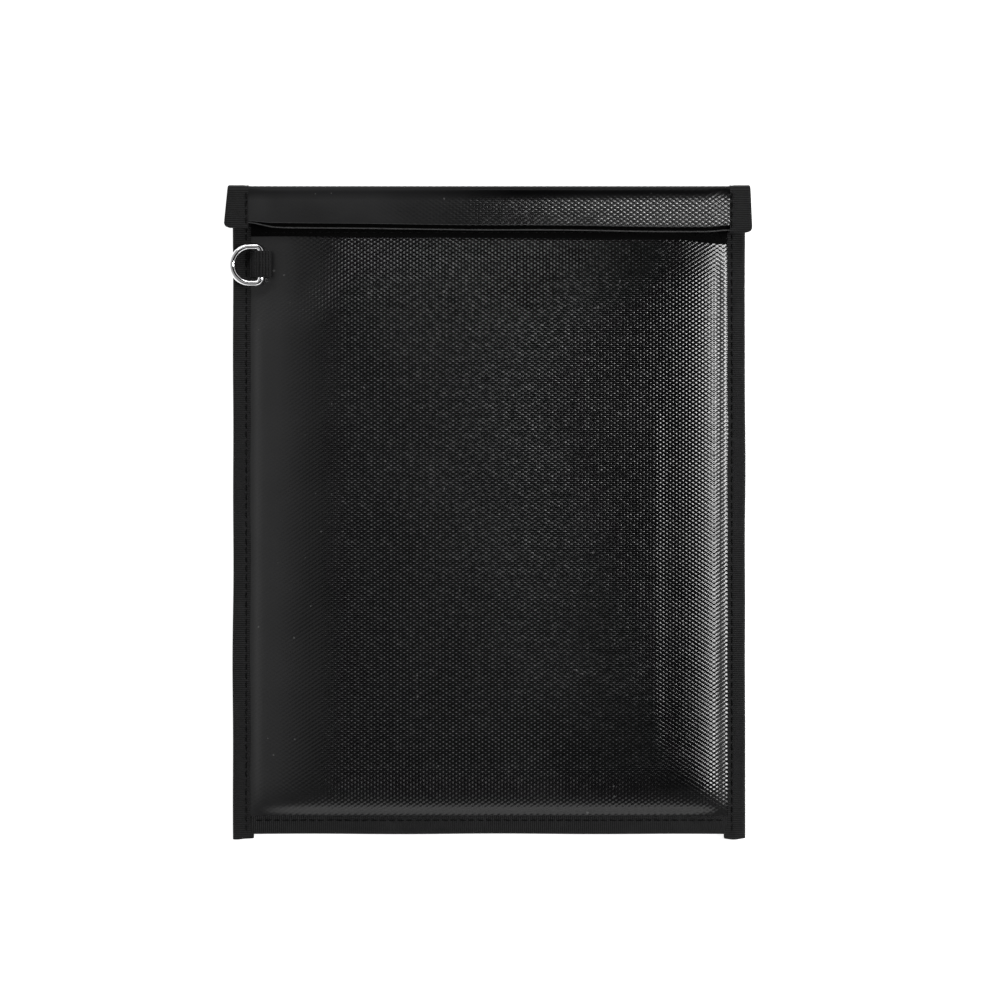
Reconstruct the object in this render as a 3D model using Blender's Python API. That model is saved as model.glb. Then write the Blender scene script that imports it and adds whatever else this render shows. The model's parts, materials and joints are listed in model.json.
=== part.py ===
"""Fire-resistant pouch for lithium polymer battery packs, lying on its back with the flap shut.

Frame: metres, origin at the middle of the rectangle that the pouch lies on, +X to the
right of someone who reads the pouch, +Y towards the flap, +Z up out of the front.

The pouch is an envelope. The back panel runs on over the mouth as a spine and a flap,
the front panel ends at the mouth, and tape binds every raw edge. The flap folds along
two creases, one each side of the spine, and a D-ring swivels in a webbing tab.
"""
import math

import bmesh
import bpy
from mathutils import Matrix, Vector

MM = 0.001

# Outline of the pouch
BODY_HALF_WIDTH = 115.0 * MM
BODY_BOTTOM = -144.5 * MM
TAPE_END = -146.5 * MM
SIDE_TAPE_WIDTH = 8.0 * MM
BOTTOM_TAPE_WIDTH = 8.3 * MM
FLAP_HALF_WIDTH_TOP = 116.8 * MM
FLAP_HALF_WIDTH_EDGE = 118.4 * MM
FLAP_TAPE_WIDTH = 9.2 * MM
FLAP_EDGE = 128.2 * MM
FLAP_LIP = 2.2 * MM
FLAP_SKEW = 0.009
FLAP_CORNER = 3.0 * MM
FLAP_CROWN = 0.9 * MM

# Cloth thicknesses, and the gap kept between pieces that touch
PANEL = 0.6 * MM
LINER = 0.4 * MM
TAPE = 0.4 * MM
TAPE_ROUND = 1.0 * MM
STRIP_LOOP = 1.0 * MM
STRIP_HOOK = 0.8 * MM
GAP = 0.3 * MM

# Layers in the sewn edges, from the ground up
BACK_EDGE_LOW = TAPE + GAP
FRONT_EDGE_LOW = BACK_EDGE_LOW + PANEL + GAP + LINER + GAP + LINER + GAP
SEAM_TOP = FRONT_EDGE_LOW + PANEL + GAP + TAPE

# Fullness of the pocket
BELLY_LOW = 9.4 * MM
MOUTH_LOW = 7.2 * MM
PUFF_MARGIN = 30.0 * MM
PUFF_FALL_START = 40.0 * MM
PUFF_FALL_END = 103.0 * MM
BACK_RISE = 8.0 * MM

# The two creases of the flap: the spine stands between them
SPINE_Y = 145.5 * MM
LOWER_CREASE = Vector((0.0, SPINE_Y, BACK_EDGE_LOW + PANEL / 2))
LOOP_LOW = MOUTH_LOW + PANEL + GAP
HOOK_LOW = LOOP_LOW + STRIP_LOOP + GAP
FLAP_LINING_LOW = HOOK_LOW + STRIP_HOOK + GAP
FLAP_LOW = FLAP_LINING_LOW + LINER + GAP
UPPER_CREASE = Vector((0.0, SPINE_Y, FLAP_LOW + PANEL / 2))
CREASE_CLEAR = 0.6 * MM
LINING_CLEAR = 2.0 * MM
MOUTH_Y = 143.0 * MM

# Hook and loop strips
LOOP_EDGE = 123.6 * MM
LOOP_TOP = 140.8 * MM
HOOK_EDGE = 127.6 * MM
HOOK_TOP = 138.4 * MM
HOOK_HALF_LENGTH = 100.0 * MM

# D-ring and its tab
RING_WIRE = 1.4 * MM
RING_ARC = 8.2 * MM
RING_ARM = 4.7 * MM
RING_CORNER = 2.2 * MM
RING_Y = 110.75 * MM
RING_AXIS_X = -102.2 * MM
RING_DROOP = math.radians(6.0)
TAB_Y = 111.05 * MM
TAB_WIDTH = 11.7 * MM
TAB_CLOTH = 0.8 * MM
TAB_FOLD_RADIUS = 1.7 * MM

# Sewing thread
THREAD_RADIUS = 0.2 * MM
STITCH = 4.0 * MM
STITCH_RISE = 0.1 * MM
SEAM_INSET = 1.9 * MM
FLAP_SEAM_INSET = 0.8 * MM


def clear_scene():
    """Remove whatever objects the open file holds."""
    for old in list(bpy.data.objects):
        bpy.data.objects.remove(old, do_unlink=True)


def finish(name, colour, roughness, metallic=0.0):
    """A Principled material of one colour."""
    material = bpy.data.materials.new(name)
    material.use_nodes = True
    shader = material.node_tree.nodes["Principled BSDF"]
    shader.inputs["Base Color"].default_value = (*colour, 1.0)
    shader.inputs["Roughness"].default_value = roughness
    shader.inputs["Metallic"].default_value = metallic
    return material


def add_pivot(name, point, parent=None):
    """An empty on a joint's axis, which carries the pieces that turn with it."""
    pivot = bpy.data.objects.new(name, None)
    bpy.context.collection.objects.link(pivot)
    pivot.parent = parent
    pivot.location = point - (parent.location if parent else Vector())
    pivot["axis_point"] = tuple(point)
    return pivot


def place(name, data, material, pivot=None):
    """Link a mesh or curve made in world coordinates, with its origin on its pivot."""
    data.materials.append(material)
    piece = bpy.data.objects.new(name, data)
    bpy.context.collection.objects.link(piece)
    if pivot:
        piece.parent = pivot
        data.transform(Matrix.Translation(-Vector(pivot["axis_point"])))


def mesh_from(bm, name):
    """Close a bmesh into a mesh whose faces point out, shaded smooth between its edges."""
    bmesh.ops.recalc_face_normals(bm, faces=bm.faces[:])
    mesh = bpy.data.meshes.new(name)
    bm.to_mesh(mesh)
    bm.free()
    mesh.shade_smooth()
    mesh.set_sharp_from_angle(angle=math.radians(35))
    return mesh


def smoothstep(value):
    """0 before 0, 1 after 1, with level ends."""
    value = min(max(value, 0.0), 1.0)
    return value * value * (3.0 - 2.0 * value)


def swell(distance):
    """How full a pillow is at a distance in from its seam."""
    part = min(max(distance / PUFF_MARGIN, 0.0), 1.0)
    return 1.0 - (1.0 - part) ** 2


def cloth(name, columns, rows, edge, low, thickness):
    """A layer of cloth: a grid whose lines lie at the columns and rows, given a thickness.

    edge(x, y) gives the y of a row at a column, and low(x, y) the height of the underside.
    """
    bm = bmesh.new()
    bmesh.ops.create_grid(
        bm, x_segments=len(columns) - 1, y_segments=len(rows) - 1, size=1.0
    )
    for vert in bm.verts:
        column = round((vert.co.x + 1.0) / 2.0 * (len(columns) - 1))
        row = round((vert.co.y + 1.0) / 2.0 * (len(rows) - 1))
        x = columns[column]
        y = edge(x, rows[row])
        vert.co = (x, y, low(x, y))
    top = bmesh.ops.extrude_face_region(bm, geom=bm.faces[:])["geom"]
    lifted = [item for item in top if isinstance(item, bmesh.types.BMVert)]
    bmesh.ops.translate(bm, verts=lifted, vec=(0.0, 0.0, thickness))
    return mesh_from(bm, name)


def straight(x, y):
    """A row that runs square across the pouch."""
    return y


def skewed(x, y):
    """A row near the flap's edge, which hangs slightly lower on the right."""
    share = smoothstep((SPINE_Y - y) / (SPINE_Y - FLAP_EDGE))
    return y - FLAP_SKEW * x * share


def loft(name, sections):
    """A closed solid through a list of outlines that have the same number of points."""
    bm = bmesh.new()
    rings = [[bm.verts.new(point) for point in section] for section in sections]
    for near, far in zip(rings, rings[1:]):
        for index in range(len(near)):
            after = (index + 1) % len(near)
            bm.faces.new((near[index], near[after], far[after], far[index]))
    bm.faces.new(rings[0])
    bm.faces.new(rings[-1])
    return mesh_from(bm, name)


def tape_outline(inner, outer, low, high):
    """Section of a tape folded round an edge, as (across, height) pairs.

    The tape's two legs start at inner, and its fold lies at outer.
    """
    side = 1.0 if outer > inner else -1.0
    outline = []
    for inset in (0.0, TAPE):
        radius = TAPE_ROUND - inset
        points = [(inner, high - inset)]
        for centre_height, first in ((high - TAPE_ROUND, 90.0), (low + TAPE_ROUND, 0.0)):
            for step in range(4):
                angle = math.radians(first - step * 30.0)
                across = outer - side * TAPE_ROUND + side * radius * math.cos(angle)
                points.append((across, centre_height + radius * math.sin(angle)))
        points.append((inner, low + inset))
        outline.extend(points if inset == 0.0 else reversed(points))
    return outline


def seam_thread(name, start, end, material, pivot=None):
    """A row of stitches from start to end: the thread rises between its needle holes."""
    data = bpy.data.curves.new(name, "CURVE")
    data.dimensions = "3D"
    data.bevel_depth = THREAD_RADIUS
    data.bevel_resolution = 0
    data.use_fill_caps = True
    halves = 2 * round((end - start).length / STITCH)
    spline = data.splines.new("POLY")
    spline.points.add(halves)
    for index, point in enumerate(spline.points):
        rise = STITCH_RISE if index % 2 else -STITCH_RISE
        spot = start.lerp(end, index / halves) + Vector((0.0, 0.0, rise))
        point.co = (*spot, 1.0)
    place(name, data, material, pivot)


def seam_columns():
    """Grid columns of the pocket's panels, closer together near the side seams."""
    seam = BODY_HALF_WIDTH - SIDE_TAPE_WIDTH - GAP
    half = [seam * math.sin(math.pi / 2 * step / 8) for step in range(9)]
    half.append(BODY_HALF_WIDTH - 2 * TAPE)
    return [-x for x in reversed(half[1:])] + half


def seam_rows():
    """Grid rows of the front panel, closer together near the bottom seam."""
    seam = BODY_BOTTOM + BOTTOM_TAPE_WIDTH + GAP
    rise = [seam + PUFF_MARGIN * part for part in (0.0, 0.15, 0.35, 0.6, 1.0)]
    fall = [PUFF_FALL_START, 61.0 * MM, 82.0 * MM, PUFF_FALL_END]
    level = [-70.0 * MM, -30.0 * MM, 5.0 * MM]
    return [BODY_BOTTOM + 2 * TAPE] + rise + level + fall + [MOUTH_Y]


def front_low(x, y):
    """Underside of the front panel: pinched in the seams, full in the middle."""
    side = BODY_HALF_WIDTH - SIDE_TAPE_WIDTH - GAP - abs(x)
    end = y - (BODY_BOTTOM + BOTTOM_TAPE_WIDTH + GAP)
    fall = smoothstep((y - PUFF_FALL_START) / (PUFF_FALL_END - PUFF_FALL_START))
    height = BELLY_LOW + (MOUTH_LOW - BELLY_LOW) * fall
    return FRONT_EDGE_LOW + (height - FRONT_EDGE_LOW) * swell(side) * swell(end)


def front_top_at(x):
    """Top of the front panel's grid near the mouth, read between its columns."""
    columns = seam_columns()
    near = max(column for column in columns if column <= x)
    far = min(column for column in columns if column > x)
    share = (x - near) / (far - near)
    low = front_low(near, MOUTH_Y) * (1.0 - share) + front_low(far, MOUTH_Y) * share
    return low + PANEL


def back_low(x, y):
    """Underside of the back panel: flat on the ground, raised where tape binds it."""
    side = abs(x) - (BODY_HALF_WIDTH - SIDE_TAPE_WIDTH - GAP - BACK_RISE)
    bottom = (BODY_BOTTOM + BOTTOM_TAPE_WIDTH + GAP + BACK_RISE) - y
    crease = y - (MOUTH_Y - BACK_RISE / 2)
    share = max(side / BACK_RISE, bottom / BACK_RISE, crease / (BACK_RISE / 2))
    return BACK_EDGE_LOW * min(max(share, 0.0), 1.0)


def back_grid(top):
    """Columns and rows of the back panel's grid, which ends at top."""
    seam = BODY_HALF_WIDTH - SIDE_TAPE_WIDTH - GAP
    half = [seam - BACK_RISE, seam, BODY_HALF_WIDTH - 2 * TAPE]
    columns = [-x for x in reversed(half)] + half
    bottom = BODY_BOTTOM + BOTTOM_TAPE_WIDTH + GAP
    rows = [BODY_BOTTOM + 2 * TAPE, bottom, bottom + BACK_RISE]
    return columns, rows + [MOUTH_Y - BACK_RISE / 2, MOUTH_Y, top]


def make_pocket(looks):
    """Front and back panels and the lining between them."""
    columns, rows = back_grid(SPINE_Y - CREASE_CLEAR)
    panel = cloth("back_panel", columns, rows, straight, back_low, PANEL)
    place("back_panel", panel, looks["coated"])

    columns, rows = back_grid(SPINE_Y - LINING_CLEAR)
    lift = PANEL + GAP
    liner = cloth(
        "back_liner", columns, rows, straight, lambda x, y: back_low(x, y) + lift, LINER
    )
    place("back_liner", liner, looks["liner"])

    columns, rows = seam_columns(), seam_rows()
    panel = cloth("front_panel", columns, rows, straight, front_low, PANEL)
    place("front_panel", panel, looks["coated"])

    drop = LINER + GAP
    liner = cloth(
        "front_liner", columns, rows, straight, lambda x, y: front_low(x, y) - drop, LINER
    )
    place("front_liner", liner, looks["liner"])


def make_bindings(looks):
    """Tape round the side and bottom edges of the pocket, with its sewing."""
    inner = BODY_HALF_WIDTH - SIDE_TAPE_WIDTH
    seam_height = SEAM_TOP + GAP + THREAD_RADIUS + STITCH_RISE
    for name, side in (("left", -1.0), ("right", 1.0)):
        outline = tape_outline(side * inner, side * BODY_HALF_WIDTH, 0.0, SEAM_TOP)
        ends = (TAPE_END, MOUTH_Y)
        sections = [[(x, y, z) for x, z in outline] for y in ends]
        tape = loft(name + "_binding", sections)
        place(name + "_binding", tape, looks["tape"])
        x = side * (inner + SEAM_INSET)
        start = Vector((x, TAPE_END + STITCH, seam_height))
        end = Vector((x, MOUTH_Y - STITCH, seam_height))
        seam_thread(name + "_seam_thread", start, end, looks["thread"])

    edge = BODY_BOTTOM + BOTTOM_TAPE_WIDTH
    outline = tape_outline(edge, BODY_BOTTOM, 0.0, SEAM_TOP)
    ends = (GAP - inner, inner - GAP)
    sections = [[(x, y, z) for y, z in outline] for x in ends]
    place("bottom_binding", loft("bottom_binding", sections), looks["tape"])
    y = edge - SEAM_INSET
    start = Vector((STITCH - inner, y, seam_height))
    end = Vector((inner - STITCH, y, seam_height))
    seam_thread("bottom_seam_thread", start, end, looks["thread"])


def make_mouth(looks):
    """Loop strip on the front panel, and the seams that hold it and the mouth's hem."""
    columns = seam_columns()[2:-2]
    rows = [LOOP_EDGE, LOOP_TOP]
    lift = PANEL + GAP
    strip = cloth(
        "loop_strip", columns, rows, skewed, lambda x, y: front_low(x, MOUTH_Y) + lift, STRIP_LOOP
    )
    place("loop_strip", strip, looks["loop"])

    level = PUFF_MARGIN + SIDE_TAPE_WIDTH
    height = LOOP_LOW + STRIP_LOOP + GAP + THREAD_RADIUS + STITCH_RISE
    half = BODY_HALF_WIDTH - level
    lines = (("loop_strip_lower_thread", 125.2 * MM), ("loop_strip_upper_thread", 139.6 * MM))
    for name, y in lines:
        seam_thread(
            name, Vector((-half, y, height)), Vector((half, y, height)), looks["thread"]
        )
    height = MOUTH_LOW + PANEL + GAP + THREAD_RADIUS + STITCH_RISE
    y = (LOOP_TOP + MOUTH_Y) / 2 + GAP
    seam_thread(
        "mouth_seam_thread", Vector((-half, y, height)), Vector((half, y, height)), looks["thread"]
    )


def make_spine(looks, pivot):
    """The strip between the creases: panel, lining and tape, standing on edge."""
    half = FLAP_HALF_WIDTH_TOP - 2 * TAPE
    low, high = LOWER_CREASE.z, UPPER_CREASE.z
    layers = (
        ("spine_panel", SPINE_Y - PANEL / 2, PANEL, CREASE_CLEAR, "coated"),
        ("spine_lining", SPINE_Y - PANEL / 2 - GAP - LINER, LINER, LINING_CLEAR, "liner"),
    )
    for name, y, thickness, clear, look in layers:
        corners = ((y, low + clear), (y + thickness, low + clear),
                   (y + thickness, high - clear), (y, high - clear))
        sections = [[(x, *corner) for corner in corners] for x in (-half, half)]
        place(name, loft(name, sections), looks[look], pivot)

    outer_face = SPINE_Y + PANEL / 2 + GAP + TAPE
    inner_face = SPINE_Y - PANEL / 2 - GAP - LINER - GAP - TAPE
    for name, side in (("left", -1.0), ("right", 1.0)):
        inner = side * (FLAP_HALF_WIDTH_TOP - FLAP_TAPE_WIDTH + GAP)
        outline = tape_outline(inner, side * FLAP_HALF_WIDTH_TOP, inner_face, outer_face)
        ends = (LOWER_CREASE.z + 2.0 * MM, UPPER_CREASE.z - 2.0 * MM)
        sections = [[(x, y, z) for x, y in outline] for z in ends]
        tape = loft(name, sections)
        place("spine_" + name + "_binding", tape, looks["tape"], pivot)


def flap_crown(x, y):
    """How far the flap bulges over the strips, with flat margins under its tape."""
    inner = FLAP_HALF_WIDTH_TOP - FLAP_TAPE_WIDTH - GAP
    across = smoothstep((inner - abs(x)) / (8.0 * MM))
    along = (SPINE_Y - y) / (SPINE_Y - FLAP_EDGE)
    return FLAP_CROWN * across * math.sin(math.pi * min(max(along, 0.0), 1.0))


def make_flap(looks, pivot):
    """Outer panel, lining, hook strip and tape of the flap."""
    inner = FLAP_HALF_WIDTH_TOP - FLAP_TAPE_WIDTH - GAP
    half = [inner / 3, inner * 2 / 3, inner - 8.0 * MM, inner - 4.0 * MM, inner]
    half.append(FLAP_HALF_WIDTH_TOP - 2 * TAPE)
    columns = [-x for x in reversed(half)] + half
    top = SPINE_Y - CREASE_CLEAR
    rows = [FLAP_EDGE + (top - FLAP_EDGE) * step / 8 for step in range(9)]
    panel = cloth(
        "flap_panel", columns, rows, skewed, lambda x, y: FLAP_LOW + flap_crown(x, y), PANEL
    )
    place("flap_panel", panel, looks["coated"], pivot)

    columns = [max(min(x, half[-1] - FLAP_CORNER), FLAP_CORNER - half[-1]) for x in columns]
    rows = [FLAP_EDGE - FLAP_LIP, SPINE_Y - LINING_CLEAR]
    lining = cloth("flap_lining", columns, rows, skewed, lambda x, y: FLAP_LINING_LOW, LINER)
    place("flap_lining", lining, looks["liner"], pivot)

    columns = [-HOOK_HALF_LENGTH, 0.0, HOOK_HALF_LENGTH]
    rows = [HOOK_EDGE, HOOK_TOP]
    strip = cloth("hook_strip", columns, rows, skewed, lambda x, y: HOOK_LOW, STRIP_HOOK)
    place("hook_strip", strip, looks["hook"], pivot)

    low = FLAP_LINING_LOW - GAP - TAPE
    high = FLAP_LOW + PANEL + GAP + TAPE
    for name, side in (("left", -1.0), ("right", 1.0)):
        sections = flap_tape_sections(side, low, high)
        tape = loft(name, sections)
        place("flap_" + name + "_binding", tape, looks["tape"], pivot)
        x = side * (FLAP_HALF_WIDTH_TOP - FLAP_TAPE_WIDTH + FLAP_SEAM_INSET)
        height = high + GAP + THREAD_RADIUS + STITCH_RISE
        start = Vector((x, FLAP_EDGE, height))
        end = Vector((x, SPINE_Y - STITCH / 2, height))
        seam_thread("flap_" + name + "_thread", start, end, looks["thread"], pivot)


def flap_tape_sections(side, low, high):
    """Outlines of a flap tape from its rounded corner up to the crease."""
    bottom = FLAP_EDGE - FLAP_LIP - FLAP_SKEW * side * FLAP_HALF_WIDTH_EDGE
    stations = []
    for step in range(5):
        angle = math.radians(90.0 * step / 4)
        cut = FLAP_CORNER * (1.0 - math.sin(angle))
        stations.append((bottom + FLAP_CORNER * (1.0 - math.cos(angle)), cut))
    stations.append((SPINE_Y - CREASE_CLEAR, 0.0))
    sections = []
    for y, cut in stations:
        share = (y - bottom) / (SPINE_Y - bottom)
        flare = FLAP_HALF_WIDTH_TOP - FLAP_HALF_WIDTH_EDGE
        outer = FLAP_HALF_WIDTH_EDGE + flare * share - cut
        inner = FLAP_HALF_WIDTH_TOP - FLAP_TAPE_WIDTH
        outline = tape_outline(side * inner, side * outer, low, high)
        sections.append([(x, y, z) for x, z in outline])
    return sections


def ring_centre():
    """Middle of the D-ring's straight bar, which turns inside the tab."""
    height = front_top_at(RING_AXIS_X) + GAP + TAB_CLOTH + GAP + RING_WIRE
    return Vector((RING_AXIS_X, RING_Y, height + 0.1 * MM))


def ring_path():
    """Centre line of the D-ring as (reach, along) pairs: reach is measured from the bar."""
    path = []
    for step in range(17):
        angle = math.radians(90.0 - 180.0 * step / 16)
        path.append((RING_ARM + RING_ARC * math.cos(angle), RING_ARC * math.sin(angle)))
    for side, first in ((-1.0, 270.0), (1.0, 180.0)):
        for step in range(4):
            angle = math.radians(first - step * 30.0)
            reach = RING_CORNER + RING_CORNER * math.cos(angle)
            along = side * (RING_ARC - RING_CORNER) + RING_CORNER * math.sin(angle)
            path.append((reach, along))
    return path


def make_ring(looks, pivot):
    """The D-ring, lying to the left over the side tape."""
    data = bpy.data.curves.new("d_ring", "CURVE")
    data.dimensions = "3D"
    data.bevel_depth = RING_WIRE
    data.bevel_resolution = 3
    spline = data.splines.new("POLY")
    path = ring_path()
    spline.points.add(len(path) - 1)
    centre = ring_centre()
    for point, (reach, along) in zip(spline.points, path):
        x = centre.x - reach * math.cos(RING_DROOP)
        z = centre.z - reach * math.sin(RING_DROOP)
        point.co = (x, centre.y + along, z, 1.0)
    spline.use_cyclic_u = True
    place("d_ring", data, looks["chrome"], pivot)


def tab_path():
    """Centre line of the tab's webbing as (x, z) pairs, once round the ring's bar."""
    centre = ring_centre()
    reach = RING_WIRE + GAP + TAB_CLOTH / 2
    lift = GAP + TAB_CLOTH / 2
    root_x = GAP + TAB_CLOTH - (BODY_HALF_WIDTH - SIDE_TAPE_WIDTH)
    root_z = front_top_at(root_x) + lift
    fold_x = centre.x + 2.8 * MM
    fold_z = centre.z + reach - TAB_FOLD_RADIUS
    path = [(root_x, root_z), (centre.x - 2.4 * MM, front_top_at(centre.x - 2.4 * MM) + lift)]
    path.append((centre.x, front_top_at(centre.x) + lift))
    for step in range(7):
        angle = math.radians(-90.0 + step * 30.0)
        across = fold_x + TAB_FOLD_RADIUS * math.cos(angle)
        path.append((across, fold_z + TAB_FOLD_RADIUS * math.sin(angle)))
    for step in range(4):
        angle = math.radians(90.0 + step * 18.0)
        path.append((centre.x + reach * math.cos(angle), centre.z + reach * math.sin(angle)))
    path.append((root_x, root_z + TAB_CLOTH + GAP / 2))
    return path


def make_tab(looks):
    """Webbing that leaves the side seam, turns round the ring's bar and goes back."""
    path = [Vector(point) for point in tab_path()]
    outer, inner = [], []
    for index, point in enumerate(path):
        ahead = (path[(index + 1) % len(path)] - point).normalized()
        behind = (point - path[index - 1]).normalized()
        normal = Vector((ahead.y + behind.y, -ahead.x - behind.x)).normalized()
        mitre = TAB_CLOTH / 2 / max(normal.dot(Vector((ahead.y, -ahead.x))), 0.6)
        outer.append(point + normal * mitre)
        inner.append(point - normal * mitre)
    bm = bmesh.new()
    rings = []
    for y in (TAB_Y - TAB_WIDTH / 2, TAB_Y + TAB_WIDTH / 2):
        rings.append([bm.verts.new((x, y, z)) for x, z in outer])
        rings.append([bm.verts.new((x, y, z)) for x, z in inner])
    for first, second in ((0, 1), (1, 3), (3, 2), (2, 0)):
        near, far = rings[first], rings[second]
        for index in range(len(near)):
            after = (index + 1) % len(near)
            bm.faces.new((near[index], near[after], far[after], far[index]))
    place("ring_tab", mesh_from(bm, "ring_tab"), looks["webbing"])


def main():
    """Build the whole pouch."""
    clear_scene()
    looks = {
        "coated": finish("coated_glass_cloth", (0.012, 0.012, 0.013), 0.45),
        "liner": finish("glass_cloth_lining", (0.03, 0.03, 0.03), 0.7),
        "tape": finish("binding_tape", (0.012, 0.012, 0.012), 0.8),
        "webbing": finish("webbing", (0.01, 0.01, 0.01), 0.75),
        "thread": finish("thread", (0.02, 0.02, 0.02), 0.6),
        "loop": finish("loop_pile", (0.012, 0.012, 0.012), 0.95),
        "hook": finish("hook_tape", (0.015, 0.015, 0.015), 0.6),
        "chrome": finish("chrome_wire", (0.75, 0.75, 0.76), 0.12, 1.0),
    }
    fold_pivot = add_pivot("fold_pivot", LOWER_CREASE)
    flap_pivot = add_pivot("flap_pivot", UPPER_CREASE, fold_pivot)
    ring_pivot = add_pivot("ring_pivot", ring_centre())
    make_pocket(looks)
    make_bindings(looks)
    make_mouth(looks)
    make_spine(looks, fold_pivot)
    make_flap(looks, flap_pivot)
    make_ring(looks, ring_pivot)
    make_tab(looks)


main()
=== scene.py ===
import json
from math import copysign, cos, pi, radians, sin, sqrt

import bmesh
import bpy
import numpy as np
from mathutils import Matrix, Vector
from mathutils.bvhtree import BVHTree


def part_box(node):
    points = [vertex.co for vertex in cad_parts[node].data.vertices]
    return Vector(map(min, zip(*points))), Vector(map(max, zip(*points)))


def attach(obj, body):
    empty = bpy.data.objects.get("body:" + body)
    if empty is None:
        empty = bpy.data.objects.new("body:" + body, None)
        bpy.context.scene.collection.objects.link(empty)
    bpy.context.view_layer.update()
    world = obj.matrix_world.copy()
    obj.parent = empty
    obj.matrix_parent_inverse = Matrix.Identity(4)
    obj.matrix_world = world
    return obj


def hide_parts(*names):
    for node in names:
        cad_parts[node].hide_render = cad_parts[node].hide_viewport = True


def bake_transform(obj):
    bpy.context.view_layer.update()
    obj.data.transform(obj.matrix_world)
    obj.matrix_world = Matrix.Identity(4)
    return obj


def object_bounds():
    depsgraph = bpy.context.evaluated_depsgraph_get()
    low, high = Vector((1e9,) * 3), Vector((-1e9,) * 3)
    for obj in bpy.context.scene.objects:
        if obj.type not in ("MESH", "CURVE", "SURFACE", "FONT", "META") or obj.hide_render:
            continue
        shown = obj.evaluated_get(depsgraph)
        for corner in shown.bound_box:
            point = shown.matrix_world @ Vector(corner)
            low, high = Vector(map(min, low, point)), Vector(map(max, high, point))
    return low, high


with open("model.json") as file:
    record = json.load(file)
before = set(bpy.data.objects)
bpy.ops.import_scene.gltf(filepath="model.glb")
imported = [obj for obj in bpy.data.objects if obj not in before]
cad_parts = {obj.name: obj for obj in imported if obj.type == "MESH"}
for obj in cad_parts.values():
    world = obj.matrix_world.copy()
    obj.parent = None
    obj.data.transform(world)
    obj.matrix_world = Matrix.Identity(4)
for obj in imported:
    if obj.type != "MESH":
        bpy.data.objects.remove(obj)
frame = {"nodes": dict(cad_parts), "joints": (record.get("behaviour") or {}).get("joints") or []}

MM = 0.001
CAD_BOX = [list(corner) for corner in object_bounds()]

# Camera: 1000 pixels across the 448 mm that the picture takes in
PICTURE_WIDTH = 448.4 * MM
PICTURE_CENTRE = (4.9 * MM, 5.5 * MM)
LENS_MM = 135.0
SENSOR_MM = 36.0

# Cloth
WARP_PITCH = 1.46 * MM
WEFT_PITCH = 0.95 * MM
WEAVE_RISE = 0.04 * MM
PANEL = 0.6 * MM
LINER = 0.4 * MM
TAPE = 0.4 * MM
STITCH = 4.0 * MM
GAP = 0.3 * MM
SEAM_INSET = 1.9 * MM
FLAP_SEAM_INSET = 0.8 * MM

# Creases of the flap, as the joints have them
JOINTS = {joint["name"]: Vector(joint["pos_m"]) for joint in frame["joints"]}
LOWER_CREASE = JOINTS["lower_crease"]
UPPER_CREASE = JOINTS["upper_crease"]
MID_SPINE = (LOWER_CREASE.z + UPPER_CREASE.z) / 2

# Edges of the sewn pouch, read from the frame
SIDE_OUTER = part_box("right_binding")[1].x
SIDE_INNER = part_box("right_binding")[0].x
SEAM_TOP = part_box("right_binding")[1].z
TAPE_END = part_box("right_binding")[0].y
BOTTOM_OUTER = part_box("bottom_binding")[0].y
BOTTOM_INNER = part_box("bottom_binding")[1].y
PANEL_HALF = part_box("front_panel")[1].x
PANEL_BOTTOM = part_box("front_panel")[0].y
MOUTH_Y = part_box("front_panel")[1].y
FLAP_EDGE = 128.2 * MM
FLAP_LIP = 2.2 * MM
FLAP_SKEW = 0.009
FLAP_INNER = 107.6 * MM
FLAP_TOP_HALF = 116.8 * MM
FLAP_EDGE_HALF = 118.4 * MM
FRONT_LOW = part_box("front_panel")[0].z + PANEL
FULL_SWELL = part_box("front_panel")[1].z - FRONT_LOW
FULL_AT_SIDE = 9.0 * MM
FULL_AT_BOTTOM = 6.0 * MM
TAPE_HALF = (SEAM_TOP - GAP) / 2
BACK_RISE = TAPE + 0.1 * MM
SPINE_FACE = LOWER_CREASE.y + PANEL / 2
FLAP_TOP = UPPER_CREASE.z + PANEL / 2
FLAP_BEND = 2.0 * MM
HEM = 0.6 * MM
BEAD = 0.4 * MM
LINING_UNDER = 10.15 * MM
LINING_FACE = PANEL + 0.1 * MM + LINER

# The bodies at each crease, and where cloth that runs across it starts and ends its turn
CREASES = {
    "lower_crease": ("pocket", "spine", (0.0, 143.9 * MM, -0.1 * MM), (0.0, 146.1 * MM, 2.1 * MM)),
    "upper_crease": ("spine", "flap", (0.0, 146.0 * MM, 9.4 * MM), (0.0, 143.6 * MM, 11.8 * MM)),
}


# ---- shapes

def smooth(value):
    """0 below 0, 1 above 1, with level ends; works on arrays."""
    value = np.clip(value, 0.0, 1.0)
    return value * value * (3.0 - 2.0 * value)


def xyz(x, y, z):
    """Points or directions from their three parts, which may be arrays or numbers."""
    return np.stack(np.broadcast_arrays(x, y, z), -1)


def waves(x, y, length, seed):
    """A smooth random field in -1..1 whose bumps are about length across."""
    rng = np.random.default_rng(seed)
    total = 0.0
    for _ in range(7):
        heading = rng.uniform(0.0, 2.0 * pi)
        pitch = length * rng.uniform(0.7, 1.8)
        phase = rng.uniform(0.0, 2.0 * pi)
        along = x * cos(heading) + y * sin(heading)
        total = total + np.cos(2.0 * pi * along / pitch + phase)
    return total / 4.2


def link(name, mesh, look, slot, body, *nodes):
    """Add a mesh as a piece that stands for CAD nodes, on a body or bent across a crease."""
    mesh.materials.append(LOOKS[look])
    piece = bpy.data.objects.new(name, mesh)
    bpy.context.collection.objects.link(piece)
    if nodes:
        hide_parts(*nodes)
    if body in CREASES:
        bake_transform(piece)
    else:
        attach(piece, body)
    return piece


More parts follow.
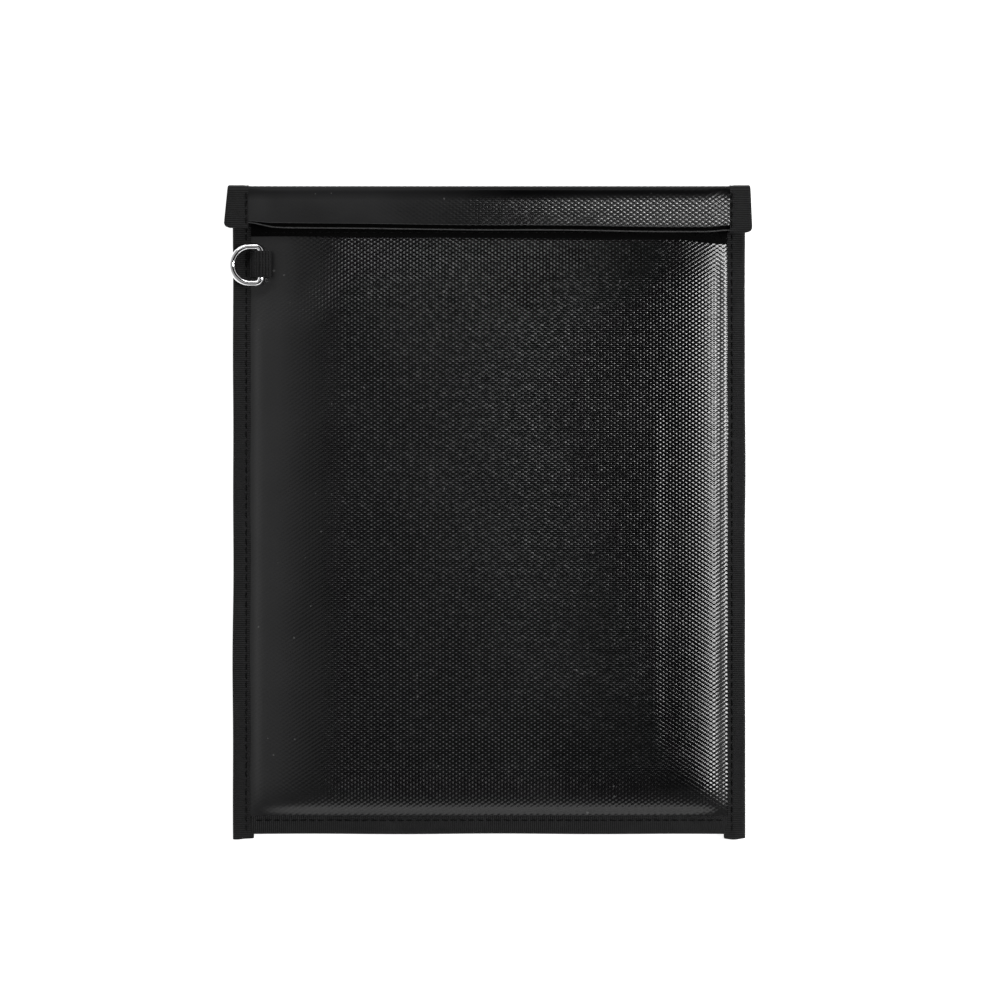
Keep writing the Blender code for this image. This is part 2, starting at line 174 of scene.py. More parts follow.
def mesh_of(name, points, faces, uvs=None, sharp_degrees=None):
    """A smooth mesh from points and faces, with one (u, v) for each point."""
    mesh = bpy.data.meshes.new(name)
    mesh.from_pydata([tuple(p) for p in points], [], [tuple(f) for f in faces])
    if uvs is not None:
        layer = mesh.uv_layers.new(name="cloth")
        corners = np.empty(len(mesh.loops), np.int32)
        mesh.loops.foreach_get("vertex_index", corners)
        layer.data.foreach_set("uv", np.asarray(uvs, np.float32)[corners].ravel())
    bm = bmesh.new()
    bm.from_mesh(mesh)
    bmesh.ops.recalc_face_normals(bm, faces=bm.faces[:])
    bm.to_mesh(mesh)
    bm.free()
    mesh.shade_smooth()
    if sharp_degrees:
        mesh.set_sharp_from_angle(angle=radians(sharp_degrees))
    return mesh


def grid_faces(columns, rows, first=0, flip=False):
    """Quads of a grid whose points run along its columns first."""
    column, row = np.meshgrid(np.arange(columns - 1), np.arange(rows - 1))
    corner = (first + row * columns + column).ravel()
    quads = np.stack([corner, corner + 1, corner + columns + 1, corner + columns], 1)
    return quads[:, ::-1] if flip else quads


def fabric(name, across, along, surface, thickness, rise=0.0, coarse=4):
    """A closed sheet of cloth.

    surface(u, v) gives the outer face's points and normals on arrays of u and v. The outer
    face has the weave's crests; the inner face has one line for every coarse lines of it.
    """
    columns, rows = len(across), len(along)
    u, v = np.meshgrid(across, along)
    points, normals = surface(u, v)
    column, row = np.meshgrid(np.arange(columns), np.arange(rows))
    crest = np.where((column + row) % 2 == 0, rise, -rise)
    inside = (column > 0) & (column < columns - 1) & (row > 0) & (row < rows - 1)
    outer = points + normals * (crest * inside)[..., None]
    under = (points - normals * thickness)[::coarse, ::coarse]
    near_columns, near_rows = under.shape[1], under.shape[0]
    first = columns * rows
    faces = [*grid_faces(columns, rows)]
    faces += [*grid_faces(near_columns, near_rows, first, flip=True)]
    fine = np.arange(first).reshape(rows, columns)
    near = first + np.arange(near_rows * near_columns).reshape(near_rows, near_columns)
    middle = coarse // 2
    for outer_line, under_line in ((fine[0], near[0]), (fine[-1], near[-1]),
                                   (fine[:, 0], near[:, 0]), (fine[:, -1], near[:, -1])):
        for k in range(len(under_line) - 1):
            run = outer_line[k * coarse:(k + 1) * coarse + 1]
            for step in range(coarse):
                anchor = under_line[k] if step < middle else under_line[k + 1]
                faces.append((run[step], run[step + 1], anchor))
            faces.append((run[middle], under_line[k + 1], under_line[k]))
    everything = np.concatenate([outer.reshape(-1, 3), under.reshape(-1, 3)])
    flat = np.stack([u, v], -1)
    uvs = np.concatenate([flat.reshape(-1, 2), flat[::coarse, ::coarse].reshape(-1, 2)])
    return mesh_of(name, everything, faces, uvs, sharp_degrees=50)


def lines(low, high, pitch, multiple=4):
    """Evenly spaced values from low to high, near pitch apart, in a multiple of steps."""
    steps = max(multiple, multiple * round((high - low) / pitch / multiple))
    return np.linspace(low, high, steps + 1)


def arc(centre, radius, first, last, steps=10):
    """Points of an arc in the YZ plane, angles in degrees from +Y towards +Z."""
    angles = np.radians(np.linspace(first, last, steps + 1))
    return [(centre[0] + radius * cos(a), centre[1] + radius * sin(a)) for a in angles]


class Route:
    """A line in the YZ plane that is read by its length."""

    def __init__(self, points):
        points = np.array(points, float)
        keep = np.concatenate([[True], np.linalg.norm(np.diff(points, axis=0), axis=1) > 1e-7])
        self.points = points[keep]
        steps = np.linalg.norm(np.diff(self.points, axis=0), axis=1)
        self.stations = np.concatenate([[0.0], np.cumsum(steps)])
        self.length = self.stations[-1]

    def at(self, s):
        """Positions and left-hand normals at lengths s."""
        def spot(length):
            length = np.clip(length, 0, self.length)
            return [np.interp(length, self.stations, line) for line in self.points.T]

        step = 0.25 * MM
        dy, dz = np.subtract(spot(s + step), spot(s - step))
        size = np.maximum(np.hypot(dy, dz), 1e-9)
        return *spot(s), -dz / size, dy / size


def tube_faces(rings, around, closed=False):
    """Quads between rings of points, with capped ends unless the tube closes on itself."""
    faces = []
    for ring in range(rings if closed else rings - 1):
        base, beyond = ring * around, (ring + 1) % rings * around
        for step in range(around):
            turn = (step + 1) % around
            faces.append((base + step, base + turn, beyond + turn, beyond + step))
    if not closed:
        faces.append(tuple(range(around)))
        faces.append(tuple(range((rings - 1) * around, rings * around)))
    return faces


def copies(faces, step, count):
    """The faces of count copies of a shape of step points."""
    return [tuple(i + copy * step for i in face) for copy in range(count) for face in faces]


def sweep(name, section, stations, frame_at):
    """A closed solid: a section of (across, out) points carried along stations.

    frame_at(station, across, out) gives the section's points in the frame.
    """
    across, out = section.T
    points = np.concatenate([frame_at(s, across, out) for s in stations])
    spread = np.concatenate([[0.0], np.cumsum(np.linalg.norm(np.diff(section, axis=0), axis=1))])
    uvs = np.array([(u, s) for s in stations for u in spread])
    return mesh_of(name, points, tube_faces(len(stations), len(section)), uvs, 50)


# ---- materials

def rgba(colour):
    """A colour, or a grey given as one number, with full alpha."""
    return (*(colour if isinstance(colour, tuple) else (colour,) * 3), 1.0)


class Nodes:
    """Short calls for building a Principled material.

    colour and roughness show where nothing is linked, and in viewers that read no nodes.
    """

    def __init__(self, name, colour, roughness, metallic=0.0):
        self.material = bpy.data.materials.new(name)
        self.material.use_nodes = True
        self.tree = self.material.node_tree
        self.shader = self.tree.nodes["Principled BSDF"]
        self.set("Base Color", rgba(colour))
        self.set("Roughness", roughness)
        self.set("Metallic", metallic)

    def put(self, node, socket, value):
        """Link value to a node's socket, or set it if it is a number or a colour."""
        if isinstance(value, bpy.types.NodeSocket):
            self.tree.links.new(value, node.inputs[socket])
        else:
            node.inputs[socket].default_value = value

    def set(self, socket, value):
        self.put(self.shader, socket, value)

    def node(self, kind, *values, **settings):
        """A new node with its settings and its first inputs."""
        node = self.tree.nodes.new("ShaderNode" + kind)
        for setting, value in settings.items():
            setattr(node, setting, value)
        for socket, value in enumerate(values):
            self.put(node, socket, value)
        return node

    def math(self, operation, first, second=0.0):
        return self.node("Math", first, second, operation=operation).outputs[0]

    def times(self, first, second):
        return self.math("MULTIPLY", first, second)

    def plus(self, first, second):
        return self.math("ADD", first, second)

    def cosine(self, angle):
        return self.math("COSINE", angle)

    def cloth_uv(self):
        """The cloth's own (u, v), in metres, as two outputs."""
        uv = self.node("UVMap", uv_map="cloth").outputs[0]
        return self.node("SeparateXYZ", uv).outputs[:2]

    def noise(self, scale, detail=3.0, uv=True, stretch=(1.0, 1.0, 1.0)):
        """Noise between 0 and 1 on the cloth's (u, v), or on the object's points."""
        if uv:
            place = self.node("UVMap", uv_map="cloth").outputs[0]
        else:
            place = self.node("TexCoord").outputs["Object"]
        mapping = self.node("Mapping", place)
        self.put(mapping, "Scale", stretch)
        texture = self.node("TexNoise", mapping.outputs[0])
        self.put(texture, "Scale", scale)
        self.put(texture, "Detail", detail)
        return texture.outputs["Fac"]

    def span(self, value, low, high, to_low=0.0, to_high=1.0):
        """Map value from low..high to to_low..to_high, clamped."""
        return self.node("MapRange", value, low, high, to_low, to_high).outputs[0]

    def mix(self, share, first, second):
        """Blend of two colours or greys."""
        node = self.node("Mix", share, data_type="RGBA")
        for socket, colour in ((6, first), (7, second)):
            linked = isinstance(colour, bpy.types.NodeSocket)
            self.put(node, socket, colour if linked else rgba(colour))
        return node.outputs[2]

    def bump(self, height, distance, strength=1.0, under=None):
        node = self.node("Bump")
        self.put(node, "Height", height)
        self.put(node, "Distance", distance)
        self.put(node, "Strength", strength)
        if under:
            self.put(node, "Normal", under)
        return node.outputs[0]


def weave_height(nodes, warp, weft):
    """Plain weave between -1 and 1: crests where warp and weft cross, staggered."""
    u, v = nodes.cloth_uv()
    drift = nodes.times(nodes.math("SUBTRACT", nodes.noise(60.0, 1.0), 0.5), 0.35)
    across = nodes.cosine(nodes.plus(nodes.times(u, pi / warp), drift))
    along = nodes.cosine(nodes.plus(nodes.times(v, pi / weft), drift))
    return nodes.times(across, along)


def coated_cloth(name, plain, woven, gloss, edge, polish=None):
    """Silicone-coated plain-weave glass cloth: satin black with a crest at each crossing.

    Towards the left and the bottom the weave's relief is lower and the ground is painted
    greyer, a painted sheen that stands for the soft lights' broad reflection: left of plain
    the weave hardly shows, right of woven it is full. The crests are painted lighter, a
    painted highlight. gloss is the relief at the right, edge what is left of it where the
    cloth is stretched at the seam.
    polish is for cloth that hands rub: where its shine starts and is full, and the length
    along it up to which a fold has dulled it.
    """
    nodes = Nodes(name, (0.005, 0.005, 0.0055), 0.22)
    across, along = nodes.cloth_uv()
    # thin is low at the left and the bottom and full to the right: it sets the weave's relief, and
    # where it is low the ground gets the painted sheen below
    thin = nodes.span(across, plain, woven)
    thin = nodes.times(thin, nodes.span(along, -138.0 * MM, -121.0 * MM, 0.15, 1.0))
    relief = nodes.times(nodes.span(thin, 0.0, 1.0, 0.15, 1.0),
                        nodes.span(across, 20.0 * MM, 100.0 * MM, 0.9, gloss))
    uneven = nodes.span(nodes.noise(330.0, 1.0), 0.25, 0.75, 0.85, 1.12)
    relief = nodes.times(relief, uneven)
    stretched = nodes.span(across, 97.0 * MM, 105.0 * MM, 1.0, edge)
    relief = nodes.times(relief, stretched)
    if polish:
        start, end, crease = polish
        dulled = nodes.span(along, crease, crease + 3.5 * MM, 0.12, 1.0)
        relief = nodes.times(relief, dulled)
        level = nodes.times(nodes.span(across, start, end, 0.5, 1.0), dulled)
        nodes.set("Specular IOR Level", level)
    height = nodes.times(weave_height(nodes, WARP_PITCH, WEFT_PITCH), relief)
    coat = nodes.noise(900.0, 2.0)
    bumped = nodes.bump(height, 0.15 * MM)
    nodes.set("Normal", nodes.bump(coat, 0.015 * MM, 0.5, bumped))
    wear = nodes.noise(35.0, 4.0)
    rough = nodes.span(nodes.plus(wear, nodes.times(height, -0.08)),
                       0.25, 0.8, 0.17, 0.25)
    rough = nodes.plus(rough, nodes.span(thin, 0.0, 1.0, 0.16, 0.0))
    # Painted sheen: the ground is painted greyer where the weave is veiled, at the left and the
    # bottom, standing in for the soft lights' broad reflection there
    cloud = nodes.span(wear, 0.3, 0.7, 0.85, 1.1)
    painted_sheen = nodes.times(nodes.span(thin, 0.0, 1.0, 1.0, 0.0), cloud)
    ground = nodes.mix(painted_sheen, (0.0016, 0.0016, 0.0018), (0.013, 0.013, 0.0134))
    # Painted highlight: the weave's crests are painted lighter, standing in for their glints
    tone = nodes.mix(nodes.span(height, 0.5, 0.9), ground, (0.085, 0.085, 0.087))
    if polish:
        rough = nodes.plus(rough, nodes.span(across, start, end, 0.0, 0.14))
    nodes.set("Roughness", rough)
    lint = nodes.span(nodes.noise(420.0, 0.0), 0.853, 0.868)
    nodes.set("Base Color", nodes.mix(nodes.times(lint, 0.5), tone, 0.12))
    return nodes.material


def rolled_edge(bead):
    """Coated cloth that is rolled at its edge: painted near-black shade up to the bead, whose top
    is painted grey as a highlight line.

    bead is the length along the cloth where the bead's top starts.
    """
    nodes = Nodes("rolled_edge", 0.003, 0.3)
    grain = nodes.noise(700.0, 3.0)
    nodes.set("Normal", nodes.bump(grain, 0.02 * MM))
    nodes.set("Roughness", nodes.span(grain, 0.2, 0.8, 0.24, 0.4))
    # Painted highlight and shade: the bead's top is painted grey for its light line, the rest near
    # black with little reflection for the shade of the gap under the hem
    painted_bead_highlight = nodes.span(nodes.cloth_uv()[1], bead, bead + 0.25 * MM)
    painted_bead_highlight = nodes.times(painted_bead_highlight, nodes.span(grain, 0.2, 0.6, 0.6, 1.0))
    nodes.set("Base Color", nodes.mix(painted_bead_highlight, 0.0005, 0.045))
    nodes.set("Specular IOR Level", nodes.span(painted_bead_highlight, 0.0, 1.0, 0.08, 0.5))
    return nodes.material


def lining_cloth():
    """Uncoated dark glass cloth, flatter and duller than the outer cloth."""
    nodes = Nodes("glass_lining", 0.05, 0.62)
    height = weave_height(nodes, 1.1 * MM, 0.9 * MM)
    nodes.set("Normal", nodes.bump(height, 0.07 * MM))
    # Painted shade: the weave's valleys are painted darker and its crests lighter
    relief_painted_shade = nodes.mix(nodes.span(height, -0.8, 0.8), 0.005, 0.016)
    patch = nodes.span(nodes.noise(30.0, 4.0), 0.3, 0.75, 0.0, 0.35)
    nodes.set("Base Color", nodes.mix(patch, relief_painted_shade, 0.012))
    return nodes.material


def ribbed(name, tone, pitch, rise, roughness=0.72):
    """Ribbed tape or webbing: ribs across its width, with fine yarns and fuzz."""
    nodes = Nodes(name, tone, roughness)
    u, v = nodes.cloth_uv()
    rib = nodes.cosine(nodes.times(v, 2.0 * pi / pitch))
    yarn = nodes.cosine(nodes.times(u, 2.0 * pi / (0.55 * pitch)))
    height = nodes.plus(rib, nodes.times(yarn, 0.35))
    fuzz = nodes.noise(1600.0, 3.0)
    nodes.set("Normal", nodes.bump(fuzz, 0.05 * MM, 0.6, nodes.bump(height, rise)))
    # Painted light and shade: rib and yarn tops are painted lighter, the furrows darker, from the
    # bump's own height
    light = tuple(2.2 * c for c in tone)
    dark = tuple(0.2 * c for c in tone)
    relief_painted_shade = nodes.mix(nodes.span(height, -1.2, 1.2), dark, light)
    worn = nodes.span(nodes.noise(90.0, 5.0), 0.5, 0.85, 0.0, 0.5)
    nodes.set("Base Color", nodes.mix(worn, relief_painted_shade, tuple(2.6 * c for c in tone)))
    nodes.set("Sheen Weight", 0.05)
    nodes.set("Sheen Roughness", 0.4)
    nodes.set("Specular IOR Level", 0.15)
    return nodes.material


def thread_look():
    """Twisted polyester thread with a slight sheen."""
    nodes = Nodes("sewing_thread", 0.006, 0.6)
    u, v = nodes.cloth_uv()
    turn = nodes.plus(nodes.times(u, 5000.0), nodes.times(v, 9000.0))
    twist = nodes.cosine(turn)
    nodes.set("Normal", nodes.bump(twist, 0.03 * MM))
    # The thread is black, painted darker still as painted shade of the dents it sinks into; the
    # twist's ridges are painted lighter than its grooves
    nodes.set("Base Color", nodes.mix(nodes.span(twist, -1.0, 1.0), 0.0004, 0.0016))
    nodes.set("Specular IOR Level", 0.08)
    return nodes.material


def pile_look():
    """Brushed nylon loops."""
    nodes = Nodes("loop_pile", 0.018, 0.85)
    fuzz = nodes.noise(1400.0, 4.0, uv=False)
    nodes.set("Normal", nodes.bump(fuzz, 0.2 * MM))
    # The pile is black nylon, painted darker still as painted shade of the band under the flap's
    # edge
    nodes.set("Base Color", nodes.mix(fuzz, 0.0004, 0.003))
    nodes.set("Specular IOR Level", 0.04)
    return nodes.material


def hook_look():
    """Moulded nylon hooks on a woven ground."""
    nodes = Nodes("hook_nylon", 0.02, 0.42)
    grain = nodes.noise(900.0, 3.0, uv=False)
    nodes.set("Normal", nodes.bump(grain, 0.05 * MM))
    nodes.set("Roughness", nodes.span(grain, 0.2, 0.8, 0.35, 0.6))
    nodes.set("Base Color", nodes.mix(grain, 0.012, 0.028))
    return nodes.material


def chrome_look():
    """Plated wire, polished, with faint rubbing marks along it."""
    nodes = Nodes("plated_wire", (0.86, 0.86, 0.87), 0.09, 1.0)
    rub = nodes.noise(700.0, 4.0, uv=False, stretch=(1.0, 1.0, 0.3))
    nodes.set("Roughness", nodes.span(rub, 0.3, 0.8, 0.05, 0.14))
    nodes.set("Normal", nodes.bump(rub, 0.01 * MM, 0.4))
    cloud = nodes.noise(160.0, 3.0, uv=False)
    nodes.set("Base Color", nodes.mix(cloud, (0.80, 0.80, 0.81), (0.90, 0.90, 0.91)))
    return nodes.material


def floor_look():
    """Plain white sweep that stays white under soft light."""
    nodes = Nodes("white_floor", 0.5, 0.9)
    nodes.set("Emission Color", (1.0, 1.0, 1.0, 1.0))
    nodes.set("Emission Strength", 0.88)
    nodes.set("Specular IOR Level", 0.0)
    return nodes.material


LOOKS = {
    "coated": coated_cloth("coated_glass_cloth", -95.0 * MM, -64.0 * MM, 0.58, 0.6),
    "flap": coated_cloth("coated_flap_cloth", -52.0 * MM, 12.0 * MM, 1.25, 1.0,
                         (-30.0 * MM, 80.0 * MM, 8.0 * MM)),
    "liner": lining_cloth(),
    "tape": ribbed("binding_tape", (0.008, 0.008, 0.0082), 0.9 * MM, 0.07 * MM),
    "webbing": ribbed("tab_webbing", (0.006, 0.006, 0.0062), 1.3 * MM, 0.12 * MM),
    "thread": thread_look(),
    "pile": pile_look(),
    "hooks": hook_look(),
    "chrome": chrome_look(),
}


# ---- front panel

# A light pressure on stiff coated cloth; no point moves further than the cap
CLOTH_SETTINGS = {
    "quality": 6, "mass": 0.25, "tension_stiffness": 25.0, "compression_stiffness": 25.0,
    "shear_stiffness": 12.0, "bending_stiffness": 10.0, "use_pressure": True,
    "uniform_pressure_force": 0.2,
}
CLOTH_FRAMES = 20
CLOTH_CAP = 0.8 * MM


def top_of(node):
    """A function that reads the height of a CAD node's upper face at (x, y)."""
    tree = BVHTree.FromObject(frame["nodes"][node], bpy.context.evaluated_depsgraph_get())
    start = CAD_BOX[1][2] + 10.0 * MM

    def height(x, y):
        hit = tree.ray_cast(Vector((x, y, start)), Vector((0.0, 0.0, -1.0)))
        return hit[0].z if hit[0] else float("nan")

    return height


def fuller(x, y, height):
    """The front's height with a fuller edge: it rises steeply from the seam, like a pillow.

    It stays low where the tab pulls it flat, and towards the mouth.
    """
    to_side, to_bottom = SIDE_INNER - np.abs(x), y - BOTTOM_INNER
    steep = 1.0 - np.exp(-np.maximum(to_side, 0.0) / FULL_AT_SIDE)
    steep = steep * (1.0 - np.exp(-np.maximum(to_bottom, 0.0) / FULL_AT_BOTTOM))
    full = FRONT_LOW + FULL_SWELL * steep
    mouth = smooth((MOUTH_Y - 8.0 * MM - y) / (35.0 * MM))
    ring = JOINTS["ring_swivel"]
    away = smooth((np.hypot(x - ring.x - 8.0 * MM, y - ring.y) - 12.0 * MM) / (22.0 * MM))
    share = mouth * away * (np.minimum(to_side, to_bottom) > 0.0)
    return height + np.maximum(full - height, 0.0) * share


def simulated_front():
    """The front panel's height on a coarse grid, swollen and puckered by a cloth simulation."""
    pitch = 4.0 * MM
    xs = lines(-PANEL_HALF + 0.1 * MM, PANEL_HALF - 0.1 * MM, pitch, 2)
    ys = lines(PANEL_BOTTOM + 0.1 * MM, MOUTH_Y - 0.1 * MM, pitch, 2)
    height = top_of("front_panel")
    rest = np.array([[height(x, y) for x in xs] for y in ys])
    x, y = np.meshgrid(xs, ys)
    rest = fuller(x, y, rest)
    start = rest + 0.05 * MM * waves(x, y, 40.0 * MM, 5)
    mesh = bpy.data.meshes.new("front_trial")
    points = xyz(x, y, start).reshape(-1, 3)
    mesh.from_pydata(points.tolist(), [], grid_faces(len(xs), len(ys)).tolist())
    trial = bpy.data.objects.new("front_trial", mesh)
    bpy.context.collection.objects.link(trial)
    held = (np.abs(x) > SIDE_INNER - 1.0 * MM) | (y < BOTTOM_INNER + 1.0 * MM)
    held = held | (y > MOUTH_Y - 6.0 * MM)
    pins = trial.vertex_groups.new(name="sewn")
    pins.add([int(i) for i in np.flatnonzero(held.ravel())], 1.0, "REPLACE")
    cloth = trial.modifiers.new("Cloth", "CLOTH")
    for setting, value in CLOTH_SETTINGS.items():
        setattr(cloth.settings, setting, value)
    cloth.settings.vertex_group_mass = "sewn"
    cloth.settings.effector_weights.gravity = 0.0
    cloth.collision_settings.use_collision = False
    cloth.point_cache.frame_start, cloth.point_cache.frame_end = 1, CLOTH_FRAMES
    for number in range(1, CLOTH_FRAMES + 1):
        bpy.context.scene.frame_set(number)
    shaped = trial.evaluated_get(bpy.context.evaluated_depsgraph_get())
    moved = np.array([v.co.z for v in shaped.data.vertices]).reshape(rest.shape)
    bpy.context.scene.frame_set(1)
    bpy.data.objects.remove(trial, do_unlink=True)
    change = CLOTH_CAP * np.tanh((moved - rest) / CLOTH_CAP)
    free = smooth((SIDE_INNER - 0.5 * MM - np.abs(x)) / (4.0 * MM))
    free = free * smooth((y - BOTTOM_INNER - 0.5 * MM) / (4.0 * MM))
    return xs, ys, rest + change * free


FRONT_XS, FRONT_YS, FRONT_Z = simulated_front()


def spline_weights(t):
    """Weights of the four neighbours for a smooth curve through grid values."""
    return (((2.0 - t) * t - 1.0) * t / 2.0, ((3.0 * t - 5.0) * t * t + 2.0) / 2.0,
            ((4.0 - 3.0 * t) * t + 1.0) * t / 2.0, (t - 1.0) * t * t / 2.0)


def front_top(x, y):
    """Height of the front panel's upper face: a smooth reading of the simulated grid."""
    column = (np.asarray(x) - FRONT_XS[0]) / (FRONT_XS[1] - FRONT_XS[0])
    row = (np.asarray(y) - FRONT_YS[0]) / (FRONT_YS[1] - FRONT_YS[0])
    column = np.clip(column, 0.0, len(FRONT_XS) - 1.001)
    row = np.clip(row, 0.0, len(FRONT_YS) - 1.001)
    i, j = np.floor(column).astype(int), np.floor(row).astype(int)
    across, along = spline_weights(column - i), spline_weights(row - j)
    total = 0.0
    for m in range(4):
        a = np.clip(i + m - 1, 0, len(FRONT_XS) - 1)
        for n in range(4):
            b = np.clip(j + n - 1, 0, len(FRONT_YS) - 1)
            total = total + across[m] * along[n] * FRONT_Z[b, a]
    return total


def height_surface(height):
    """A surface over the XY plane for fabric(), with its true normals."""
    def surface(u, v):
        step = 0.5 * MM
        z = height(u, v)
        dx = (height(u + step, v) - height(u - step, v)) / (2.0 * step)
        dy = (height(u, v + step) - height(u, v - step)) / (2.0 * step)
        normal = xyz(-dx, -dy, 1.0)
        normal /= np.linalg.norm(normal, axis=-1, keepdims=True)
        return xyz(u, v, z), normal
    return surface


def make_front():
    """Front panel and its lining."""
    across = lines(-PANEL_HALF, PANEL_HALF, WARP_PITCH)
    along = lines(PANEL_BOTTOM, MOUTH_Y, WEFT_PITCH)
    mesh = fabric("front_cloth", across, along, height_surface(front_top), PANEL, WEAVE_RISE)
    piece = link("front_cloth", mesh, "coated", "coated_cloth", "pocket", "front_panel")

    drop = PANEL + 0.1 * MM
    surface = height_surface(lambda x, y: front_top(x, y) - drop)
    across = lines(-PANEL_HALF, PANEL_HALF, 3.3 * MM)
    along = lines(PANEL_BOTTOM, MOUTH_Y - 0.3 * MM, 3.3 * MM)
    mesh = fabric("front_lining", across, along, surface, LINER, coarse=2)
    piece = link("front_lining", mesh, "liner", "lining_cloth", "pocket", "front_liner")


# ---- back panel, spine and flap

def route_surface(route, shape, offset, inward):
    """A surface for fabric() that follows a route across the pouch.

    shape(x, y, z, share) moves the points, with share 0 to 1 along the route. The face lies
    at an offset to the route's left, and inward says that this face looks to the left.
    """
    def surface(u, v):
        y, z, left_y, left_z = route.at(v)
        y, z = y + left_y * offset, z + left_z * offset
        x, y, z = shape(u, y, z, v / route.length)
        side = 1.0 if inward else -1.0
        normal = xyz(0.0 * x, side * left_y, side * left_z)
        return xyz(x, y, z), normal
    return surface


def outer_half(y):
    """Half width of the cloth above the pocket: it widens behind the flap."""
    wide = smooth((y - 118.0 * MM) / (26.0 * MM))
    return PANEL_HALF + (FLAP_TOP_HALF - 2 * TAPE - PANEL_HALF) * wide


def back_shape(x, y, z, share):
    """The back panel's margins rise over the tape's lower leg; the spine is wider."""
    side = smooth((np.abs(x) - SIDE_INNER + 7.0 * MM) / (7.0 * MM))
    bottom = smooth((BOTTOM_INNER + 7.0 * MM - y) / (7.0 * MM))
    crease = smooth((y - LOWER_CREASE.y + 7.0 * MM) / (5.0 * MM))
    lift = BACK_RISE * np.maximum(np.maximum(side, bottom), crease)
    lift = lift * (1.0 - smooth((z - 2.0 * MM) / (3.0 * MM)))
    crinkle = 0.12 * MM * (1.0 + waves(x, y, 45.0 * MM, 21)) * (1.0 - share ** 8)
    return x * outer_half(y) / PANEL_HALF, y, z + lift + crinkle * (z < 2.0 * MM)


def make_back():
    """Back panel and its lining, which turn up at the lower crease to half the spine."""
    bend = 1.4 * MM
    route = Route([(PANEL_BOTTOM, 0.0), (SPINE_FACE - bend, 0.0)]
                  + arc((SPINE_FACE - bend, bend), bend, -90.0, 0.0) + [(SPINE_FACE, MID_SPINE)])
    across = lines(-PANEL_HALF, PANEL_HALF, WARP_PITCH)
    along = lines(0.0, route.length, WEFT_PITCH)
    mesh = fabric("back_cloth", across, along, route_surface(route, back_shape, 0.0, False),
                  PANEL, WEAVE_RISE)
    piece = link("back_cloth", mesh, "coated", "coated_cloth", "lower_crease", "back_panel")

    across = lines(-PANEL_HALF, PANEL_HALF, 3.0 * MM)
    along = lines(0.0, route.length, 1.0 * MM)
    surface = route_surface(route, back_shape, LINING_FACE, True)
    mesh = fabric("back_lining", across, along, surface, LINER, coarse=2)
    piece = link("back_lining", mesh, "liner", "lining_cloth", "lower_crease", "back_liner",
                 "spine_lining")


def skew(x, y):
    """How far the flap hangs lower at x: nothing at the spine, all of it at the edge."""
    return FLAP_SKEW * x * smooth((SPINE_FACE - y) / (SPINE_FACE - FLAP_EDGE))


def flap_shape(x, y, z, share):
    """The flap is crowned between its tapes, and its edge hangs lower on the right."""
    down = (SPINE_FACE - y) / (SPINE_FACE - FLAP_EDGE)
    across = smooth((FLAP_INNER - 0.5 * MM - np.abs(x)) / (10.0 * MM))
    crown = 1.2 * MM * across * np.sin(np.pi * np.clip(down, 0.0, 1.0) ** 0.75)
    crown = crown + 0.16 * MM * across * smooth(down * 2.0) * waves(x, y * 2.0, 38.0 * MM, 31)
    pull = smooth((np.abs(x) - 97.0 * MM) / (10.0 * MM)) * smooth((down - 0.5) / 0.5)
    sway = 0.25 * MM * waves(x, 0.0 * y, 80.0 * MM, 32) * smooth((down - 0.4) / 0.6)
    return x, y - skew(x, y) + sway + 0.7 * MM * pull, z + crown


def lip_shape(x, y, z, share):
    """The lining follows the flap, but its lip curves up into the tape at the left end."""
    x, y, z = flap_shape(x, y, z, share)
    return x, y + 1.6 * MM * smooth((-x - 92.0 * MM) / (18.0 * MM)) * (share > 0.5), z


